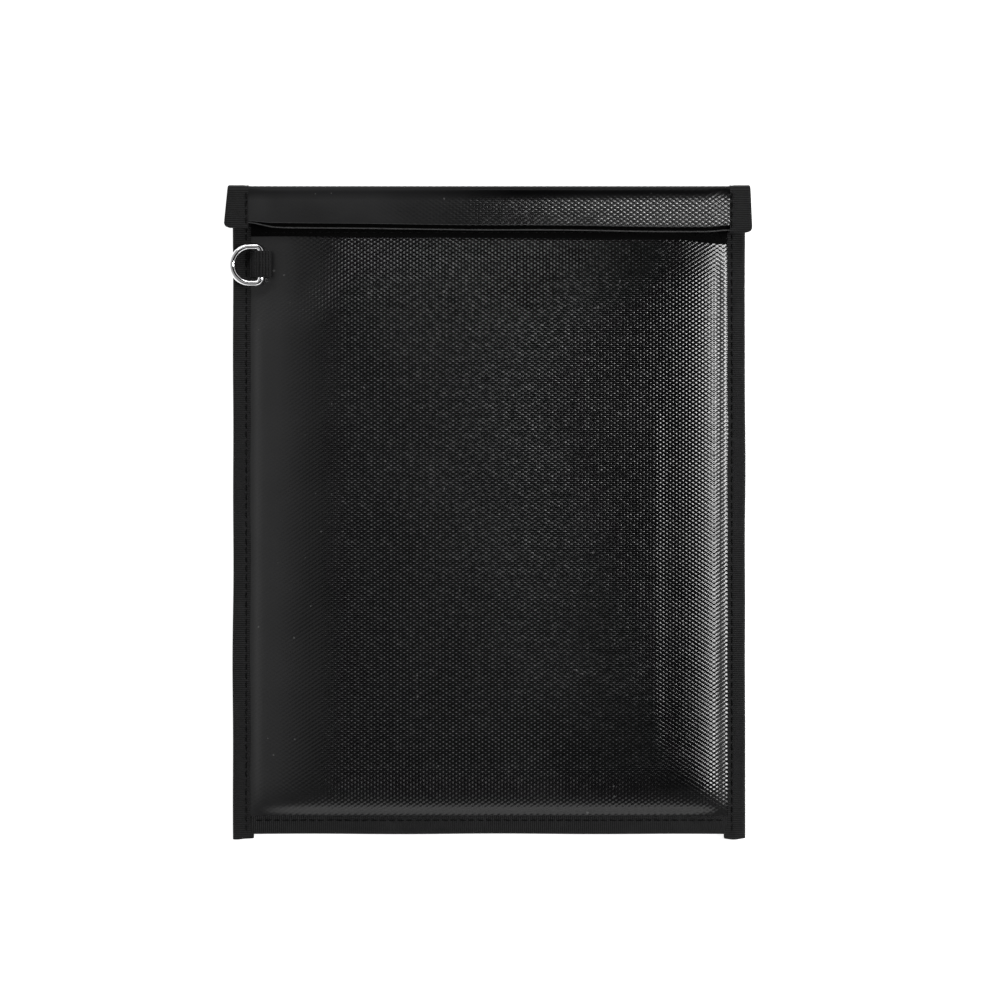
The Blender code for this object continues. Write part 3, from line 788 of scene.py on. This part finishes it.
def make_flap():
    """The flap's outer cloth with its folded hem, and the lining whose bead shows below it."""
    top = [(SPINE_FACE, MID_SPINE)]
    centre = (SPINE_FACE - FLAP_BEND, FLAP_TOP - FLAP_BEND)
    edge = (FLAP_EDGE + HEM, FLAP_TOP - HEM)
    turn = arc(edge, HEM, 90.0, 270.0, 12)
    back = [(FLAP_EDGE + 9.0 * MM, FLAP_TOP - 2 * HEM)]
    route = Route(top + arc(centre, FLAP_BEND, 0.0, 90.0, 12) + turn + back)
    half = FLAP_TOP_HALF - 2 * TAPE
    across = lines(-half, half, WARP_PITCH)
    hem_end = route.length - 9.0 * MM + HEM
    hem_start = hem_end - pi * HEM
    along = np.concatenate([lines(0.0, hem_start, WEFT_PITCH),
                            lines(hem_start, hem_end, 0.24 * MM)[1:],
                            lines(hem_end, route.length, WEFT_PITCH)[1:]])
    rise = np.where(along < hem_start, WEAVE_RISE, 0.0)[:, None]
    mesh = fabric("flap_cloth", across, along, route_surface(route, flap_shape, 0.0, False),
                  HEM - 0.08 * MM, rise)
    piece = link("flap_cloth", mesh, "flap", "coated_cloth", "upper_crease", "flap_panel",
                 "spine_panel")

    bend = FLAP_BEND - LINING_FACE
    points = [(SPINE_FACE - LINING_FACE, MID_SPINE)] + arc(centre, bend, 0.0, 90.0, 8)
    points += [(FLAP_EDGE + 10.0 * MM, LINING_UNDER), (FLAP_EDGE - FLAP_LIP + BEAD, LINING_UNDER)]
    bead_centre = (FLAP_EDGE - FLAP_LIP + BEAD, LINING_UNDER + BEAD)
    points += arc(bead_centre, BEAD, 270.0, 70.0, 14)
    route = Route(points)
    half = FLAP_TOP_HALF - 4.0 * MM
    across = lines(-half, half, 3.0 * MM)
    along = lines(0.0, route.length, 0.35 * MM)
    mesh = fabric("flap_lining_cloth", across, along,
                  route_surface(route, lip_shape, 0.0, True), LINER - 0.05 * MM, coarse=2)
    # Faces of the lip below the hem take the rolled edge's painted shade and painted highlight
    for face in mesh.polygons:
        face.material_index = int(face.center.y + FLAP_SKEW * face.center.x < FLAP_EDGE + 1.5 * MM)
    piece = link("flap_lining_cloth", mesh, "liner", "lining_cloth", "upper_crease",
                 "flap_lining")
    piece.data.materials.append(rolled_edge(route.length - 0.8 * MM))


# ---- binding tape and sewing

def tape_section(width, half_height):
    """Section of a tape folded over an edge: (in from its free edges, out) pairs."""
    outline = []
    for inset in (0.0, TAPE):
        level = half_height - inset
        round_off = min(half_height * 0.8, 1.3 * MM) - inset * 0.7
        run = np.linspace(0.0, width - 1.3 * MM, 9)
        upper = [(a, level) for a in run]
        turn = []
        for angle in np.radians(np.linspace(75.0, -75.0, 7)):
            a = width - inset - round_off + round_off * cos(angle)
            b = copysign(level - round_off, angle) + round_off * sin(angle)
            turn.append((a, b if abs(angle) > 0.01 else 0.0))
        lower = [(a, -level) for a in run[::-1]]
        path = upper + turn + lower
        outline.extend(path if inset == 0.0 else path[::-1])
    return np.array(outline)


def sunk(a, s, seam):
    """How far a seam's stitches pull the tape's face in, most at the needle holes."""
    return 0.26 * MM * np.exp(-((a - seam) / (0.55 * MM)) ** 2) * (
        0.65 + 0.35 * np.cos(2.0 * pi * s / STITCH))


def make_side_tapes():
    """Tape round the pocket's left and right edges, with loose ends past the bottom."""
    section = tape_section(SIDE_OUTER - SIDE_INNER, TAPE_HALF)
    stations = lines(TAPE_END, MOUTH_Y + 0.4 * MM, 1.0 * MM)
    for side, node in ((-1.0, "left_binding"), (1.0, "right_binding")):
        def frame_at(s, a, b, side=side):
            seed = 41 if side > 0 else 42
            edge = 0.28 * MM * waves(s, 0.0, 24.0 * MM, seed) * (a < 1.0 * MM)
            drift = 0.22 * MM * waves(s, 3.0, 60.0 * MM, seed + 5)
            spread = 1.4 * MM * smooth((TAPE_END + 8.0 * MM - s) / (6.0 * MM))
            spread = spread * (1.0 - a / (SIDE_OUTER - SIDE_INNER))
            x = side * (SIDE_INNER + a + edge + drift - spread)
            face = np.sign(b) * sunk(a, s, SEAM_INSET) * (np.abs(b) > TAPE_HALF * 0.9)
            ripple = 0.07 * MM * waves(s, a * 4.0, 9.0 * MM, seed + 9) * (b > 0)
            y = np.full_like(x, s)
            end = smooth((TAPE_END + 1.5 * MM - s) / (1.5 * MM))
            y = y + end * 0.35 * MM * np.cos(a / (SIDE_OUTER - SIDE_INNER) * 5.0 + side)
            return xyz(x, y, TAPE_HALF + b - face + ripple)
        name = node.replace("binding", "tape")
        mesh = sweep(name, section, stations, frame_at)
        link(name, mesh, "tape", "binding_tape", "pocket", node)


def make_bottom_tape():
    """Tape round the bottom edge, its ends under the side tapes."""
    section = tape_section(BOTTOM_INNER - BOTTOM_OUTER, TAPE_HALF)
    reach = SIDE_INNER - 0.1 * MM

    def frame_at(s, a, b):
        edge = 0.25 * MM * waves(s, 0.0, 30.0 * MM, 51) * (a < 1.0 * MM)
        drift = 0.3 * MM * waves(s, 5.0, 90.0 * MM, 52)
        face = np.sign(b) * sunk(a, s, SEAM_INSET) * (np.abs(b) > TAPE_HALF * 0.9)
        ripple = 0.07 * MM * waves(s, a * 4.0, 9.0 * MM, 53) * (b > 0)
        y = BOTTOM_INNER - a - edge - drift
        return xyz(s, y, TAPE_HALF + b - face + ripple)

    mesh = sweep("bottom_tape", section, lines(-reach, reach, 1.0 * MM), frame_at)
    link("bottom_tape", mesh, "tape", "binding_tape", "pocket", "bottom_binding")


def flap_tape_outer(y, side):
    """Outer edge of the flap's tape: it flares to the rounded corner, more on the left."""
    share = np.clip((LOWER_CREASE.y - y) / (LOWER_CREASE.y - FLAP_EDGE), 0.0, 1.3)
    flare = (FLAP_EDGE_HALF - FLAP_TOP_HALF) * (1.0 if side < 0 else 0.5)
    return FLAP_TOP_HALF + flare * share


def make_flap_tapes():
    """Tape from the pocket's top, up the spine and down the flap's ends, in two pieces."""
    height = 0.5 * (PANEL + LINER) + 0.1 * MM + TAPE
    core_y = SPINE_FACE - height + TAPE
    core_low = BACK_RISE + height - TAPE
    core_high = FLAP_TOP - height + TAPE - 0.15 * MM
    bend = 1.5 * MM
    lower = Route([(MOUTH_Y + 0.7 * MM, core_low), (core_y - 1.0 * MM, core_low)]
                  + arc((core_y - 1.0 * MM, core_low + 1.0 * MM), 1.0 * MM, -90.0, 0.0, 6)
                  + [(core_y, MID_SPINE)])
    end_y = FLAP_EDGE - FLAP_LIP
    upper = Route([(core_y, MID_SPINE)]
                  + arc((core_y - bend, core_high - bend), bend, 0.0, 90.0, 8)
                  + [(end_y, core_high)])
    section = tape_section(FLAP_TOP_HALF - FLAP_INNER, height + 0.05 * MM)
    corner = 2.6 * MM
    for side, word in ((-1.0, "left"), (1.0, "right")):
        for route, part, crease in ((lower, "spine", "lower_crease"),
                                    (upper, "flap", "upper_crease")):
            def frame_at(s, a, b, side=side, route=route, part=part):
                y, z, left_y, left_z = route.at(s)
                to_end = route.length - s
                cut = 0.0
                if part == "flap" and to_end < corner:
                    cut = corner - sqrt(max(corner ** 2 - (corner - to_end) ** 2, 0.0))
                wide = flap_tape_outer(y, side) - FLAP_INNER
                if part == "spine":
                    wide = outer_half(y) + 2 * TAPE - FLAP_INNER
                span = FLAP_TOP_HALF - FLAP_INNER
                edge = 0.2 * MM * waves(s, side, 14.0 * MM, 61) * (a < 1.0 * MM)
                x = side * (FLAP_INNER + edge + a * (wide - cut) / span)
                face = np.sign(b) * sunk(a, s, FLAP_SEAM_INSET) * (np.abs(b) > height * 0.9)
                out = -(b - face)
                drop = skew(x, y) if part == "flap" else 0.0 * x
                return xyz(x, y + left_y * out - drop, z + left_z * out)
            stations = lines(0.0, route.length, 0.6 * MM)
            name = "%s_%s_tape" % (part, word)
            mesh = sweep(name, section, stations, frame_at)
            link(name, mesh, "tape", "binding_tape", crease, "%s_%s_binding" % (part, word))


def stitches(name, node, body, start, end, height):
    """A row of thread stitches from start to end, each arched between two needle holes.

    height(x, y) gives the cloth's face under the row.
    """
    start, end = Vector((*start, 0.0)), Vector((*end, 0.0))
    run = end - start
    count = max(1, round(run.length / STITCH))
    heading = run.normalized()
    side = Vector((-heading.y, heading.x, 0.0))
    rng = np.random.default_rng(len(name) + count)
    radius = 0.25 * MM
    rings, around = 7, 8
    points, uvs = [], []
    for index in range(count):
        near, far = index / count, (index + 1) / count
        lean = rng.uniform(-0.16, 0.16) * MM
        for ring in range(rings):
            t = ring / (rings - 1)
            spot = start.lerp(end, near + (far - near) * (0.07 + 0.86 * t))
            arch = 1.0 - abs(2.0 * t - 1.0) ** 3
            taper = 0.55 + 0.45 * arch
            base = height(spot.x, spot.y) - 0.30 * MM + 0.40 * MM * arch
            centre = Vector((spot.x, spot.y, base)) + side * lean * (2.0 * t - 1.0)
            for step in range(around):
                angle = 2.0 * pi * step / around
                offset = side * cos(angle) + Vector((0.0, 0.0, sin(angle)))
                points.append(centre + offset * radius * taper)
                uvs.append((t * STITCH, angle * radius))
    faces = copies(tube_faces(rings, around), rings * around, count)
    link(name, mesh_of(name, points, faces, uvs), "thread", "thread", body, node)


def make_sewing():
    """Every row of stitches."""
    tape_top = SEAM_TOP - GAP - 0.05 * MM

    def on_tape(x, y):
        return tape_top

    for side, word in ((-1.0, "left"), (1.0, "right")):
        x = side * (SIDE_INNER + SEAM_INSET)
        stitches(word + "_stitches", word + "_seam_thread", "pocket",
                 (x, TAPE_END + 3.0 * MM), (x, MOUTH_Y - 2.0 * MM), on_tape)
        x = side * (FLAP_INNER + FLAP_SEAM_INSET)
        stitches("flap_%s_stitches" % word, "flap_%s_thread" % word, "flap",
                 (x, FLAP_EDGE - 0.6 * MM - FLAP_SKEW * x), (x, 143.0 * MM),
                 lambda x, y: FLAP_TOP + TAPE + 0.02 * MM)
    y = BOTTOM_INNER - SEAM_INSET
    stitches("bottom_stitches", "bottom_seam_thread", "pocket",
             (2.0 * MM - SIDE_INNER, y), (SIDE_INNER - 2.0 * MM, y), on_tape)
    for node, face in (("mouth_seam_thread", 0.1 * MM), ("loop_strip_lower_thread", 0.62 * MM),
                       ("loop_strip_upper_thread", 0.62 * MM)):
        low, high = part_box(node)
        y, reach = (low.y + high.y) / 2, 103.0 * MM
        stitches(node.replace("thread", "stitches"), node, "pocket", (-reach, y), (reach, y),
                 lambda x, y, face=face: float(front_top(x, y)) + face)


# ---- hook and loop

def tufts(name, template, quads, spots, sizes, turns):
    """A mesh of many small shapes, each at its spot with a size and a turn about Z."""
    template = np.array(template)
    across, along = np.cos(turns)[:, None], np.sin(turns)[:, None]
    x, y, z = template.T[:, None, :]
    points = xyz(x * across - y * along, x * along + y * across, z)
    points = points * sizes[:, None, None] + spots[:, None, :]
    return mesh_of(name, points.reshape(-1, 3), copies(quads, len(template), len(spots)))


def bent_wire(route, radius, around):
    """Points and faces of a thin closed tube along (x, z) points."""
    points = []
    for index, (x, z) in enumerate(route):
        ahead = route[min(index + 1, len(route) - 1)]
        behind = route[max(index - 1, 0)]
        heading = Vector((ahead[0] - behind[0], 0.0, ahead[1] - behind[1])).normalized()
        side = Vector((0.0, 1.0, 0.0))
        up = heading.cross(side)
        for step in range(around):
            angle = 2.0 * pi * step / around
            offset = side * cos(angle) + up * sin(angle)
            points.append(tuple(Vector((x, 0.0, z)) + offset * radius))
    return points, tube_faces(len(route), around)


def make_strips():
    """Loop strip on the front panel and hook strip under the flap."""
    half = SIDE_INNER - 0.3 * MM
    edge, top = 122.7 * MM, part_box("loop_strip")[1].y - 0.4 * MM
    ground = 0.55 * MM

    def loop_ground(u, v):
        sag = 1.6 * MM * smooth((u - 84.0 * MM) / (20.0 * MM))
        y = v - skew(u, v) - sag * smooth((SPINE_FACE - v) / (SPINE_FACE - FLAP_EDGE))
        z = front_top(u, y) + ground
        return xyz(u, y, z), xyz(0.0 * z, 0.0, 1.0)

    mesh = fabric("loop_ground", lines(-half, half, 2.0 * MM), lines(edge, top, 1.0 * MM),
                  loop_ground, ground - 0.08 * MM, rise=0.03 * MM, coarse=2)
    piece = link("loop_ground", mesh, "pile", "loop_pile", "pocket", "loop_strip")

    rng = np.random.default_rng(71)
    count = 2600
    u = rng.uniform(-half + 1.0 * MM, half - 1.0 * MM, count)
    v = rng.uniform(edge + 2.4 * MM, top - 2.0 * MM, count)
    spots, _ = loop_ground(u, v)
    spots = spots - np.array([0.0, 0.0, 0.1 * MM])
    bow = [(0.55 * MM * cos(a), 0.75 * MM * sin(a))
           for a in np.linspace(pi, 0.0, 6)]
    template, quads = bent_wire(bow, 0.05 * MM, 3)
    mesh = tufts("loop_pile", template, quads, spots, rng.uniform(0.6, 1.0, count),
                 rng.uniform(0.0, pi, count))
    link("loop_pile", mesh, "pile", "loop_pile", "pocket")

    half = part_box("hook_strip")[1].x
    edge, top = 127.6 * MM, 138.2 * MM
    under = LINING_UNDER - 0.05 * MM

    def hook_ground(u, v):
        y = v - skew(u, v)
        z = under - 0.4 * MM
        return xyz(u, y, flap_shape(u, y, z, 0.0)[2]), xyz(0.0 * u, 0.0, -1.0)

    mesh = fabric("hook_ground", lines(-half, half, 2.0 * MM), lines(edge, top, 1.0 * MM),
                  hook_ground, 0.35 * MM, coarse=2)
    piece = link("hook_ground", mesh, "hooks", "hook_tape", "flap", "hook_strip")
    u, v = np.meshgrid(np.arange(-half + 1.0 * MM, half - 0.8 * MM, 1.5 * MM),
                       np.arange(edge + 0.9 * MM, top - 0.6 * MM, 1.15 * MM))
    spots, _ = hook_ground(u.ravel(), v.ravel())
    crook = [(0.0, 0.08 * MM), (0.0, -0.45 * MM), (0.06 * MM, -0.68 * MM),
             (0.22 * MM, -0.78 * MM), (0.38 * MM, -0.68 * MM), (0.42 * MM, -0.52 * MM)]
    template, quads = bent_wire(crook, 0.08 * MM, 4)
    turns = np.where(np.arange(len(spots)) % 2 == 0, 0.0, pi)
    mesh = tufts("hooks", template, quads, spots, np.ones(len(spots)), turns)
    link("hooks", mesh, "hooks", "hook_tape", "flap")


# ---- D-ring and its tab

def make_ring():
    """The D-ring: a straight bar, two arms and half a circle, in round wire."""
    centre = JOINTS["ring_swivel"]
    low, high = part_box("d_ring")
    wire = 1.4 * MM
    bow = (high.y - low.y) / 2 - wire
    arm, corner, droop = 4.7 * MM, 2.2 * MM, radians(6.0)
    path = [(arm + bow * cos(a), bow * sin(a))
            for a in np.linspace(pi / 2, -pi / 2, 49)]
    for side, first in ((-1.0, 270.0), (1.0, 180.0)):
        for angle in np.radians(np.linspace(first, first - 90.0, 9)):
            path.append((corner + corner * cos(angle),
                         side * (bow - corner) + corner * sin(angle)))
        if side < 0:
            path += [(0.0, y) for y in np.linspace(corner - bow, bow - corner, 12)[1:-1]]
    heading = Vector((-cos(droop), 0.0, -sin(droop)))
    up = Vector((-sin(droop), 0.0, cos(droop)))
    along = Vector((0.0, 1.0, 0.0))
    around = 20
    spots = [centre + heading * reach + along * side for reach, side in path]
    points, uvs = [], []
    count = len(spots)
    for index, spot in enumerate(spots):
        run = (spots[(index + 1) % count] - spots[index - 1]).normalized()
        out = run.cross(up).normalized()
        for step in range(around):
            angle = 2.0 * pi * step / around
            points.append(spot + (out * cos(angle) + up * sin(angle)) * wire)
            uvs.append((angle * wire, index * 0.7 * MM))
    mesh = mesh_of("ring_wire", points, tube_faces(count, around, closed=True), uvs)
    link("ring_wire", mesh, "chrome", "ring_steel", "ring", "d_ring")


def closed_curve(points, steps):
    """A smooth closed line through points in a plane (Catmull-Rom)."""
    four = [np.roll(points, -k, axis=0) for k in (-1, 0, 1, 2)]
    line = [sum(w * p for w, p in zip(spline_weights(t), four))
            for t in np.linspace(0.0, 1.0, steps, endpoint=False)]
    return np.stack(line, 1).reshape(-1, 2)


def make_tab():
    """Webbing that comes out of the side seam, turns round the ring's bar and goes back."""
    centre = JOINTS["ring_swivel"]
    low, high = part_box("ring_tab")
    cloth = 0.75 * MM
    reach = 1.4 * MM + 0.22 * MM + cloth / 2
    root_x = -SIDE_INNER + 0.5 * MM

    def ground(x):
        return float(front_top(x, centre.y)) + cloth / 2 + 0.12 * MM

    fold_x = high.x - 1.7 * MM - cloth / 2
    fold_z = centre.z + reach - 1.75 * MM
    path = [(root_x, ground(root_x))]
    path += [(x, ground(x)) for x in (centre.x - 2.6 * MM, centre.x - 0.4 * MM)]
    path += [(fold_x + 1.7 * MM * cos(a), fold_z + 1.75 * MM * sin(a))
             for a in np.radians(np.linspace(-80.0, 80.0, 6))]
    path += [(centre.x + reach * cos(a), centre.z + reach * sin(a))
             for a in np.radians((88.0, 120.0, 146.0))]
    path += [(root_x + 1.1 * MM, ground(root_x) + 2.1 * MM), (root_x, ground(root_x) + 0.95 * MM)]
    line = closed_curve(path, 5)
    width = high.y - low.y
    middle = (high.y + low.y) / 2
    edge = []
    for angle in np.radians(np.linspace(90.0, 270.0, 5)):
        edge.append((-width / 2 + 0.3 * MM * (1.0 + cos(angle)), cloth / 2 * sin(angle)))
    flats = np.linspace(-width / 2 + 0.3 * MM, width / 2 - 0.3 * MM, 15)[1:-1]
    section = edge + [(a, -cloth / 2) for a in flats]
    section += [(-a, -b) for a, b in edge] + [(a, cloth / 2) for a in flats[::-1]]
    points, uvs = [], []
    length = 0.0
    for index in range(len(line)):
        heading = line[(index + 1) % len(line)] - line[index - 1]
        heading /= np.linalg.norm(heading)
        out = np.array([heading[1], -heading[0]])
        length += np.linalg.norm(line[index] - line[index - 1])
        for a, b in section:
            fray = 0.12 * MM * sin(length / (0.65 * MM) * pi)
            fray = fray * (abs(a) > width / 2 - 0.1 * MM)
            x, z = line[index] + out * b
            points.append((x, middle + a + copysign(fray, a), z))
            uvs.append((a, length))
    faces = tube_faces(len(line), len(section), closed=True)
    mesh = mesh_of("tab_webbing", points, faces, uvs, sharp_degrees=60)
    link("tab_webbing", mesh, "webbing", "webbing", "pocket", "ring_tab")


# ---- camera, floor and lights

def make_stage():
    """White floor, soft lights from both sides and a camera straight above."""
    reach = 4.0
    mesh = bpy.data.meshes.new("floor")
    mesh.from_pydata([(x, y, 0.0) for x, y in ((-reach, -reach), (reach, -reach), (reach, reach),
                                               (-reach, reach))], [], [(0, 1, 2, 3)])
    mesh.materials.append(floor_look())
    floor = bpy.data.objects.new("floor", mesh)
    floor.location.z = -0.05 * MM
    bpy.context.collection.objects.link(floor)

    lights = (
        ("right_softbox", (1.05, 0.14, 1.10), (0.40, 0.6), 19.0),
        ("left_softbox", (-0.95, 0.10, 1.2), (1.2, 1.6), 2.2),
        ("top_strip", (-0.45, 1.15, 0.75), (1.3, 0.25), 7.0),
        ("bottom_strip", (0.30, -1.15, 0.60), (1.0, 0.3), 1.2),
    )
    for name, spot, size, power in lights:
        data = bpy.data.lights.new(name, "AREA")
        data.shape = "RECTANGLE"
        data.size, data.size_y = size
        data.energy = power
        lamp = bpy.data.objects.new(name, data)
        lamp.location = spot
        lamp.rotation_euler = (-Vector(spot)).to_track_quat("-Z", "Y").to_euler()
        bpy.context.collection.objects.link(lamp)

    world = bpy.data.worlds.new("studio")
    world.use_nodes = True
    tree = world.node_tree
    background = tree.nodes["Background"]
    background.inputs["Color"].default_value = rgba(1.0)
    place = tree.nodes.new("ShaderNodeTexCoord")
    split = tree.nodes.new("ShaderNodeSeparateXYZ")
    fade = tree.nodes.new("ShaderNodeMapRange")
    tree.links.new(place.outputs["Generated"], split.inputs[0])
    tree.links.new(split.outputs["Z"], fade.inputs["Value"])
    limits = {"From Min": 0.3, "From Max": 0.63, "To Min": 0.95, "To Max": 0.0}
    for socket, value in limits.items():
        fade.inputs[socket].default_value = value
    tree.links.new(fade.outputs[0], background.inputs["Strength"])
    bpy.context.scene.world = world
    bpy.context.scene.view_settings.view_transform = "Standard"

    data = bpy.data.cameras.new("camera")
    data.lens = LENS_MM
    data.sensor_width = SENSOR_MM
    camera = bpy.data.objects.new("camera", data)
    distance = PICTURE_WIDTH * LENS_MM / SENSOR_MM
    camera.location = (*PICTURE_CENTRE, distance + SEAM_TOP)
    bpy.context.collection.objects.link(camera)
    bpy.context.scene.camera = camera


make_stage()
make_front()
make_back()
make_flap()
make_side_tapes()
make_bottom_tape()
make_flap_tapes()
make_sewing()
make_strips()
make_ring()
make_tab()
